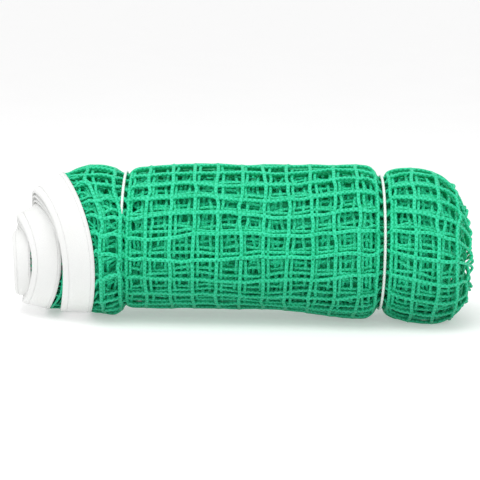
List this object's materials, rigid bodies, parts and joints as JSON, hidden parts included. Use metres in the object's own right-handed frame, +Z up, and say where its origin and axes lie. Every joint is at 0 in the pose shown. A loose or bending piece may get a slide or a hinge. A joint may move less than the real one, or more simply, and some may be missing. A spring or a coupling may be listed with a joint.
{
  "type": "rolled tennis net",
  "caption": "Tennis net rolled into a bundle, green netting with a white headband spiralling at one end, tied with two cords.",
  "frame": {"origin": "centre of the bundle's footprint, on the surface that it rests on", "axes": "+X along the roll, from the headband's end to the folded end; +Y to the back, where the ties' knots are; +Z up"},
  "size_m": [0.8217, 0.278, 0.274],
  "materials": {
    "netting": "satin",
    "headband": "matte",
    "thread": "satin",
    "cable": "satin",
    "tie": "satin"
  },
  "bodies": {
    "roll": {"netting_outer_turn": "netting", "netting_second_turn": "netting", "netting_core": "netting", "headband_tape": "headband", "headline_cable": "cable", "headband_seam_outer": "thread", "headband_seam_inner": "thread"},
    "left_tie": {"tie_left": "tie", "tie_left_knot": "tie"},
    "right_tie": {"tie_right": "tie", "tie_right_knot": "tie"}
  },
  "joints": [
    {"name": "left_tie_turn", "type": "hinge", "parent": "roll", "child": "left_tie", "pos_m": [-0.211, 0, 0.135], "axis": [1, 0, 0], "range_deg": [-60, 85]},
    {"name": "right_tie_turn", "type": "hinge", "parent": "roll", "child": "right_tie", "pos_m": [0.242, 0, 0.135], "axis": [1, 0, 0], "continuous": true}
  ]
}
